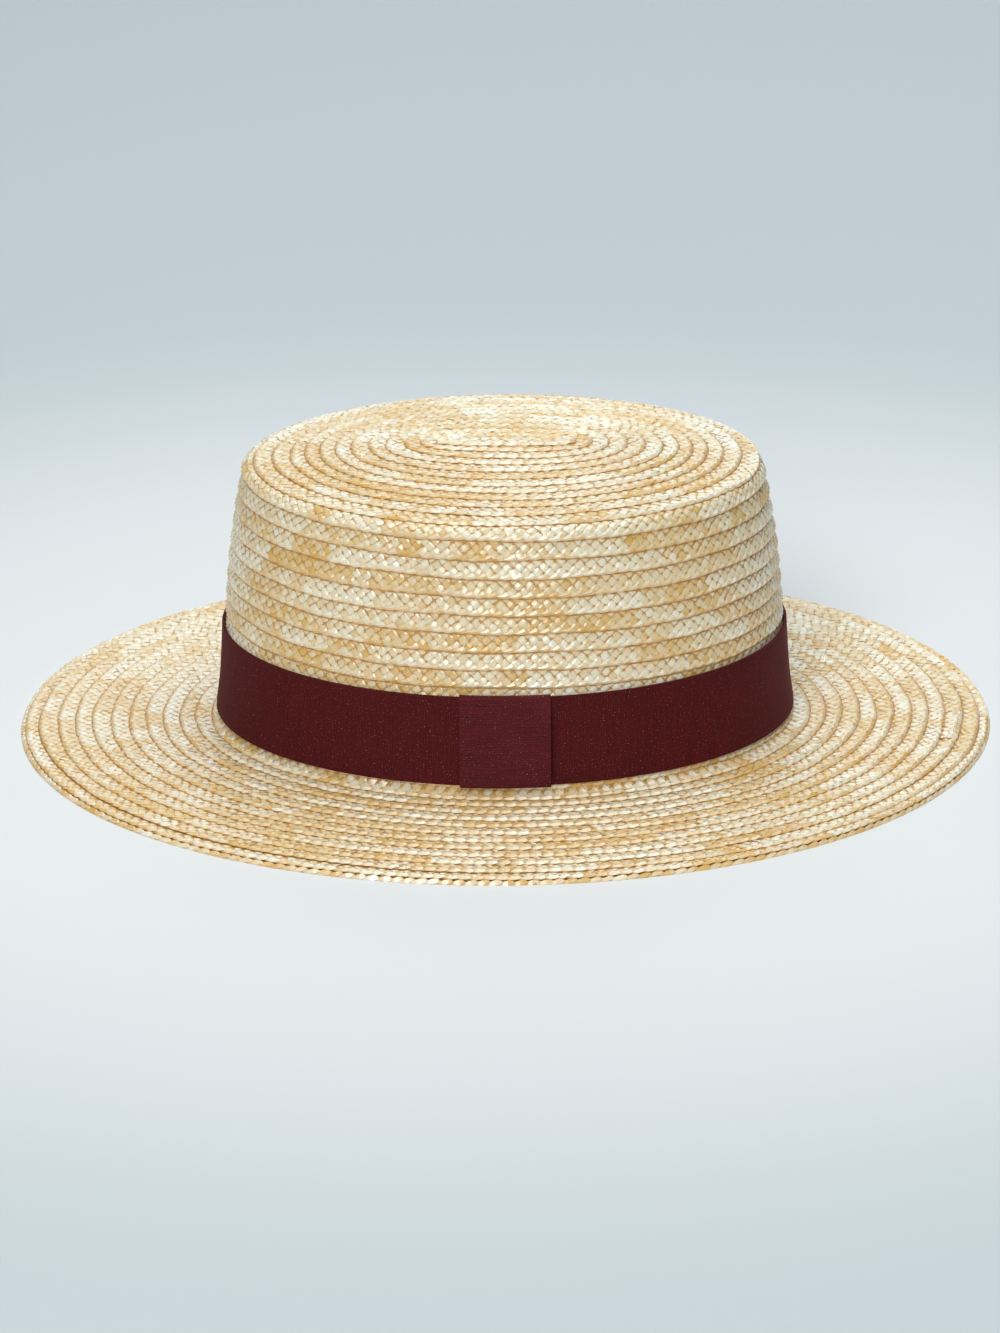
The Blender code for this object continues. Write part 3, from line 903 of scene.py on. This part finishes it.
def mixed(tree, share, first, second, blend="MIX"):
    """A colour between two colours."""
    made = node(tree, "ShaderNodeMix", data_type="RGBA", blend_type=blend)
    for index, value in ((0, share), (6, first), (7, second)):
        socket = made.inputs[index]
        if isinstance(value, bpy.types.NodeSocket):
            tree.links.new(value, socket)
        else:
            socket.default_value = value
    return made.outputs[2]


def new_group(name, inputs, outputs):
    """A shader node group with named sockets: triples of a name, a socket kind and a default."""
    group = bpy.data.node_groups.new(name, "ShaderNodeTree")
    for socket_name, kind, default in inputs:
        socket = group.interface.new_socket(name=socket_name, in_out="INPUT", socket_type=kind)
        if default is not None:
            socket.default_value = default
    for socket_name, kind in outputs:
        group.interface.new_socket(name=socket_name, in_out="OUTPUT", socket_type=kind)
    return group, group.nodes.new("NodeGroupInput"), group.nodes.new("NodeGroupOutput")


def scaled(tree, *pairs):
    """A place from a value times a factor for each axis."""
    axes = [(axis, maths(tree, "MULTIPLY", value, factor)) for axis, (value, factor) in enumerate(pairs)]
    return node(tree, "ShaderNodeCombineXYZ", axes).outputs[0]


def noise(tree, place, detail, scale=1.0):
    """Noise at a place, mostly near a half."""
    made = node(tree, "ShaderNodeTexNoise", [("Vector", place), ("Scale", scale), ("Detail", detail)])
    return made.outputs[0]


def swing(tree, value, size):
    """Noise as a change up or down."""
    return maths(tree, "MULTIPLY", maths(tree, "SUBTRACT", value, 0.5), size)


def ramp(tree, value, span, strengths=(0.0, 1.0), kind="LINEAR"):
    """A mask that goes from one strength to the other over a span of the value."""
    made = node(tree, "ShaderNodeMapRange", [
        ("Value", value), ("From Min", span[0]), ("From Max", span[1]),
        ("To Min", strengths[0]), ("To Max", strengths[1])], interpolation_type=kind)
    return made.outputs[0]


def shaded(tree, colour, shade):
    """A colour times a number."""
    shades = node(tree, "ShaderNodeCombineXYZ", [(axis, shade) for axis in range(3)])
    return mixed(tree, 1.0, colour, shades.outputs[0], "MULTIPLY")


def put_out(group, result, *values):
    """Lead the colour, the roughness and the height out of a group."""
    for (name, kind), value in zip(SURFACE, values):
        group.links.new(value, result.inputs[name])
    return group


def straw_grain_group():
    """Fine fibres along a straw, paler and deeper streaks, amber sides, painted shade deep in the plait,
    and painted shadow lines where rows touch.
    """
    group, given, result = new_group(
        "straw grain",
        [("Place", "NodeSocketVector", None), ("Tone", "NodeSocketFloat", 0.5),
         ("Depth", "NodeSocketFloat", 0.0), ("Seam", "NodeSocketFloat", 0.0),
         ("Cover", "NodeSocketFloat", UNCOVERED), ("Back", "NodeSocketFloat", 0.0),
         ("Cream", "NodeSocketColor", None), ("Golden", "NodeSocketColor", None),
         ("Edge", "NodeSocketColor", None)],
        SURFACE,
    )
    place = node(group, "ShaderNodeSeparateXYZ", [(0, given.outputs["Place"])])
    cover = given.outputs["Cover"]
    fibres = noise(group, scaled(group, *zip(place.outputs, FIBRE_SCALES)), FIBRE_DETAIL)
    blotch = noise(group, scaled(group, *zip(place.outputs, BLOTCH_SCALES)), BLOTCH_DETAIL)
    tone = maths(group, "ADD", given.outputs["Tone"], swing(group, fibres, FIBRE_STREAKS))
    tone = maths(group, "ADD", tone, swing(group, blotch, BLOTCH_STRENGTH), clamp=True)
    colour = mixed(group, tone, given.outputs["Golden"], given.outputs["Cream"])
    # Amber at the strands' sides: partly the cut sides' own colour, partly painted shade that grows close
    # to and under the row above
    side = maths(group, "POWER", maths(group, "ABSOLUTE", place.outputs[1], 0.0), SEAM_POWER)
    near = ramp(group, cover, SEAM_SHADE_SPAN, SEAM_SHADE_STRENGTHS)
    side = maths(group, "MULTIPLY", side, maths(group, "MULTIPLY", given.outputs["Seam"], near))
    notches = noise(group, scaled(group, (place.outputs[0], NOTCH_SCALE)), NOTCH_DETAIL)
    # Painted shadow line along the edge of the row above, broken into notches
    line = maths(group, "MULTIPLY", ramp(group, cover, SHADOW_LINE_SPAN, kind="SMOOTHSTEP"),
                 ramp(group, notches, NOTCH_SPAN, NOTCH_STRENGTHS))
    front = maths(group, "SUBTRACT", 1.0, given.outputs["Back"])
    # Painted shade: amber where the straw lies deep in the plait or under the painted shadow line, on front
    # faces only
    low = ramp(group, given.outputs["Depth"], DEEP_SHADE_SPAN, kind="SMOOTHSTEP")
    low = maths(group, "MULTIPLY", maths(group, "MAXIMUM", low, line), front)
    side = maths(group, "ADD", side, maths(group, "MULTIPLY", low, DEEP_SHADE_STRENGTH), clamp=True)
    # The edge colour: cut sides, and painted shade
    colour = mixed(group, side, colour, given.outputs["Edge"])
    # The painted shadow line also darkens the straw
    shade = maths(group, "MULTIPLY", maths(group, "MULTIPLY", line, front), SHADOW_LINE_SHADE)
    colour = shaded(group, colour, maths(group, "SUBTRACT", 1.0, shade))
    rough = maths(group, "ADD", maths(group, "MULTIPLY", fibres, FIBRE_ROUGHNESS), STRAW_ROUGHNESS)
    rough = maths(group, "ADD", rough, maths(group, "MULTIPLY", low, DEEP_SHADE_ROUGHNESS), clamp=True)
    return put_out(group, result, colour, rough, fibres)


def rib_group():
    """Grosgrain: painted shade in the grooves between ribs, and small paler fibre specks."""
    group, given, result = new_group(
        "grosgrain",
        [("Place", "NodeSocketVector", None), ("Color", "NodeSocketColor", None),
         ("Rib pitch", "NodeSocketFloat", 0.0006), ("Upright", "NodeSocketFloat", 1.0)],
        SURFACE,
    )
    place = node(group, "ShaderNodeSeparateXYZ", [(0, given.outputs["Place"])])
    level = maths(group, "SUBTRACT", 1.0, given.outputs["Upright"])
    across, along = [
        maths(group, "ADD", maths(group, "MULTIPLY", place.outputs[axis], given.outputs["Upright"]),
              maths(group, "MULTIPLY", place.outputs[1 - axis], level))
        for axis in (0, 1)
    ]
    turn = maths(group, "DIVIDE", across, given.outputs["Rib pitch"])
    wave = maths(group, "COSINE", maths(group, "MULTIPLY", turn, 2 * math.pi), 0.0)
    wave = maths(group, "MULTIPLY", maths(group, "ADD", wave, 1.0), 0.5)
    specks = noise(group, given.outputs["Place"], SPECK_DETAIL, SPECK_SCALE)
    cloud = noise(group, given.outputs["Place"], CLOUD_DETAIL, CLOUD_SCALE)
    streaks = noise(group, scaled(group, *zip((across, along), STREAK_SCALES)), STREAK_DETAIL)
    # Painted shade in the grooves, from the rib wave
    shade = maths(group, "ADD", GROOVE_SHADE, maths(group, "MULTIPLY", wave, RIB_SHADE))
    for value, size in ((streaks, STREAK_SHADE), (specks, SPECK_SHADE), (cloud, CLOUD_SHADE)):
        shade = maths(group, "ADD", shade, swing(group, value, size))
    spots = maths(group, "SUBTRACT", specks, SPOT_FROM, clamp=True)
    spots = maths(group, "MULTIPLY", spots, SPOT_STRENGTH, clamp=True)
    colour = mixed(group, spots, shaded(group, given.outputs["Color"], shade), SPOT_COLOUR)
    rough = maths(group, "ADD", RIBBON_ROUGHNESS, maths(group, "MULTIPLY", specks, SPECK_ROUGHNESS))
    return put_out(group, result, colour, rough, wave)


def shared_group(name, maker):
    """The group of this name, made once."""
    return bpy.data.node_groups.get(name) or maker()


def new_material(name, gloss):
    """A material with its Principled shader, and what is the same all over it."""
    material = bpy.data.materials.new(name)
    material.use_nodes = True
    shader = material.node_tree.nodes["Principled BSDF"]
    for socket, value in gloss:
        shader.inputs[socket].default_value = value
    return material, material.node_tree, shader


def place_group(tree, shader, group, bump, read, values):
    """Place a shader group: the attributes it reads, its own values, and its results for the shader."""
    placed = node(tree, "ShaderNodeGroup", node_tree=group)
    for socket, attribute, output in read:
        source = node(tree, "ShaderNodeAttribute", attribute_name=attribute)
        tree.links.new(source.outputs[output], placed.inputs[socket])
    for socket, value in values:
        placed.inputs[socket].default_value = value
    tree.links.new(placed.outputs["Color"], shader.inputs["Base Color"])
    tree.links.new(placed.outputs["Roughness"], shader.inputs["Roughness"])
    relief = node(tree, "ShaderNodeBump", [
        ("Height", placed.outputs["Height"]), ("Strength", bump[0]), ("Distance", bump[1])])
    tree.links.new(relief.outputs["Normal"], shader.inputs["Normal"])


def straw_material(plait):
    """Flattened wheat straw: smooth and a little glossy, streaked along its length."""
    if "wheat_straw" in bpy.data.materials:
        return bpy.data.materials["wheat_straw"]
    material, tree, shader = new_material("wheat_straw", STRAW_GLOSS)
    read = [("Place", "straw_place", "Vector")]
    numbers = ("Tone", "Depth", "Seam", "Cover", "Back")
    read += [(socket, "straw_" + socket.lower(), "Fac") for socket in numbers]
    colours = (("Cream", plait.cream), ("Golden", plait.golden), ("Edge", plait.edge_and_shade))
    values = [(socket, (*colour, 1.0)) for socket, colour in colours]
    place_group(tree, shader, shared_group("straw grain", straw_grain_group), STRAW_RELIEF, read, values)
    return material


def grosgrain_material(name, colour, pitch, upright):
    """Ribbed ribbon, matt with a faint bloom."""
    material, tree, shader = new_material(name, RIBBON_GLOSS)
    values = [("Color", (*colour, 1.0)), ("Rib pitch", pitch), ("Upright", upright)]
    place_group(tree, shader, shared_group("grosgrain", rib_group), RIBBON_RELIEF,
                [("Place", "rib_place", "Vector")], values)
    return material


class BOATER_OT_plait(bpy.types.Operator):
    """Weave and wind the straw plait of the crown and the brim"""

    bl_idname = "boater.plait"
    bl_label = "Crown and brim plait"

    def execute(self, context):
        plait = context.scene.boater_plait
        winding = Winding(plait)
        material = straw_material(plait)
        for name, first, last, solid in PLAIT_PIECES:
            start, end = winding.length_at(first), winding.length_at(last)
            mesh = plait_mesh(name, plait, winding, start, end)
            add_piece(name, mesh, material, "straw", solid)
        join = JoinWinding(plait)
        mesh = plait_mesh("join_plait", plait, join, *(join.length_at(turns) for turns in JOIN_TURNS))
        add_piece("join_plait", mesh, material, "straw", "brim")
        return {"FINISHED"}


class BOATER_OT_edge_row(bpy.types.Operator):
    """Sew the last turn of plait under the brim's edge"""

    bl_idname = "boater.edge_row"
    bl_label = "Edge row"

    def execute(self, context):
        plait = context.scene.boater_plait
        winding = EdgeWinding(plait)
        mesh = plait_mesh("edge_plait", plait, winding, 0.0, winding.length_at(1.0))
        add_piece("edge_plait", mesh, straw_material(plait), "straw", "brim_edge_row")
        return {"FINISHED"}


class BOATER_OT_band(bpy.types.Operator):
    """Put the grosgrain ribbon round the crown"""

    bl_idname = "boater.band"
    bl_label = "Ribbon band"

    def execute(self, context):
        ribbon = context.scene.boater_ribbon
        material = grosgrain_material("wine_grosgrain", ribbon.band_colour, ribbon.rib_pitch, 1.0)
        add_piece("grosgrain_band", band_mesh(ribbon), material, "ribbon", "ribbon_band")
        return {"FINISHED"}


class BOATER_OT_keeper(bpy.types.Operator):
    """Wrap the keeper over the ribbon's join"""

    bl_idname = "boater.keeper"
    bl_label = "Ribbon keeper"

    def execute(self, context):
        ribbon = context.scene.boater_ribbon
        material = grosgrain_material("wine_grosgrain_level", ribbon.keeper_lit_colour, ribbon.rib_pitch, 0.0)
        add_piece("grosgrain_keeper", keeper_mesh(ribbon), material, "keeper", "ribbon_keeper")
        return {"FINISHED"}


WARM_LIGHT = (1.0, 0.985, 0.955)
WHITE_LIGHT = (1.0, 1.0, 1.0)
COOL_LIGHT = (0.88, 0.95, 1.0)
ROOM_COLOUR = (1.0, 0.97, 0.93, 1.0)

# The soft lights: name, place, side and colour
LIGHTS = (
    ("key", (-0.65, -2.1, 2.0), 1.1, WARM_LIGHT),
    ("front", (-0.3, -2.5, 0.85), 0.8, WHITE_LIGHT),
    ("top", (0.2, 0.3, 2.2), 2.0, COOL_LIGHT),
    ("back", (0.0, 2.6, 1.1), 2.0, COOL_LIGHT),
)

# Half the floor's side, and the span from the hat's middle over which its colour turns to the far one
FLOOR_REACH = 6.0
FLOOR_SPAN = (0.20, 0.50)

# The camera, fitted to the photograph
CAMERA_TURN = math.radians(1.18)
CAMERA_LIFT = math.radians(20.58)
CAMERA_ROLL = math.radians(0.59)
CAMERA_DISTANCE = 2.6
CAMERA_TARGET = (0.0, 0.0, 0.040)
PHOTO_WIDTH = 1000.0
FOCAL_PIXELS = 7230.0
TARGET_LEFT_PIXELS = 4.7
TARGET_UP_PIXELS = 49.9
SENSOR_WIDTH = 36.0


def add_camera():
    """The camera at the photograph's place."""
    target = Vector(CAMERA_TARGET)
    ahead = Vector((
        -math.sin(CAMERA_TURN) * math.cos(CAMERA_LIFT),
        math.cos(CAMERA_TURN) * math.cos(CAMERA_LIFT),
        -math.sin(CAMERA_LIFT),
    ))
    place = target - ahead * CAMERA_DISTANCE
    right = ahead.cross(Vector((0, 0, 1))).normalized()
    up = right.cross(ahead)
    per_pixel = CAMERA_DISTANCE / FOCAL_PIXELS
    aim = target - right * TARGET_LEFT_PIXELS * per_pixel - up * TARGET_UP_PIXELS * per_pixel
    look = (aim - place).normalized()
    level = look.cross(Vector((0, 0, 1))).normalized()
    rotation = Matrix((level, level.cross(look), -look)).transposed().to_4x4()
    data = bpy.data.cameras.new("camera")
    data.sensor_fit = "HORIZONTAL"
    data.sensor_width = SENSOR_WIDTH
    data.lens = FOCAL_PIXELS / PHOTO_WIDTH * SENSOR_WIDTH
    camera = bpy.data.objects.new("camera", data)
    bpy.context.scene.collection.objects.link(camera)
    camera.matrix_world = Matrix.Translation(place) @ rotation @ Matrix.Rotation(-CAMERA_ROLL, 4, "Z")
    bpy.context.scene.camera = camera


def add_floor(colour, far_colour):
    """A wide plain floor under the hat, a little deeper far from it."""
    corners = [(-1, -1, 0), (1, -1, 0), (1, 1, 0), (-1, 1, 0)]
    mesh = new_mesh("floor", np.array(corners) * FLOOR_REACH, [np.array([[0, 1, 2, 3]])])
    material, tree, shader = new_material("floor_paint", FLOOR_GLOSS)
    place = node(tree, "ShaderNodeNewGeometry").outputs["Position"]
    distance = node(tree, "ShaderNodeVectorMath", [(0, place)], operation="LENGTH").outputs["Value"]
    far = ramp(tree, distance, FLOOR_SPAN, kind="SMOOTHSTEP")
    tree.links.new(mixed(tree, far, (*colour, 1.0), (*far_colour, 1.0)), shader.inputs["Base Color"])
    mesh.materials.append(material)
    floor = bpy.data.objects.new("floor", mesh)
    bpy.context.scene.collection.objects.link(floor)


def add_light(name, place, size, power, colour):
    """A soft square light that faces the hat."""
    data = bpy.data.lights.new(name, "AREA")
    data.color = colour
    data.shape = "SQUARE"
    data.size = size
    data.energy = power
    light = bpy.data.objects.new(name, data)
    light.location = place
    light.rotation_mode = "QUATERNION"
    light.rotation_quaternion = (Vector(place) - Vector(CAMERA_TARGET)).to_track_quat("Z", "Y")
    bpy.context.scene.collection.objects.link(light)


class BOATER_OT_stage(bpy.types.Operator):
    """Lay the floor, hang the soft lights and set the camera"""

    bl_idname = "boater.stage"
    bl_label = "Stage"

    def execute(self, context):
        stage = context.scene.boater_stage
        add_floor(stage.floor_colour, stage.far_floor_colour)
        for name, place, size, colour in LIGHTS:
            add_light(name + "_light", place, size, getattr(stage, name + "_power"), colour)
        world = bpy.data.worlds.new("room")
        world.use_nodes = True
        sky = world.node_tree.nodes["Background"]
        sky.inputs["Color"].default_value = ROOM_COLOUR
        sky.inputs["Strength"].default_value = stage.sky_strength
        context.scene.world = world
        context.scene.view_settings.view_transform = "Standard"
        add_camera()
        return {"FINISHED"}


class BOATER_PT_panel(bpy.types.Panel):
    """Sizes, colours and steps of the hat"""

    bl_label = "Straw boater hat"
    bl_idname = "BOATER_PT_panel"
    bl_space_type = "VIEW_3D"
    bl_region_type = "UI"
    bl_category = "Boater"

    def draw(self, context):
        for group, settings in SETTINGS:
            box = self.layout.box()
            for name in settings.__annotations__:
                box.prop(getattr(context.scene, group), name)
        for operator in OPERATORS:
            self.layout.operator(operator.bl_idname)


OPERATORS = (BOATER_OT_plait, BOATER_OT_edge_row, BOATER_OT_band, BOATER_OT_keeper, BOATER_OT_stage)
SETTINGS = (
    ("boater_plait", PlaitSettings),
    ("boater_ribbon", RibbonSettings),
    ("boater_stage", StageSettings),
)


def register():
    """Add the settings, the operators and the panel to Blender."""
    for name, settings in SETTINGS:
        bpy.utils.register_class(settings)
        setattr(bpy.types.Scene, name, bpy.props.PointerProperty(type=settings))
    for item in (*OPERATORS, BOATER_PT_panel):
        bpy.utils.register_class(item)


def unregister():
    """Take them away again."""
    for item in reversed((*OPERATORS, BOATER_PT_panel)):
        bpy.utils.unregister_class(item)
    for name, settings in reversed(SETTINGS):
        delattr(bpy.types.Scene, name)
        bpy.utils.unregister_class(settings)


def main():
    """Build the hat and its stage."""
    register()
    bpy.ops.boater.plait()
    bpy.ops.boater.edge_row()
    bpy.ops.boater.band()
    bpy.ops.boater.keeper()
    bpy.ops.boater.stage()


if __name__ == "__main__":
    main()
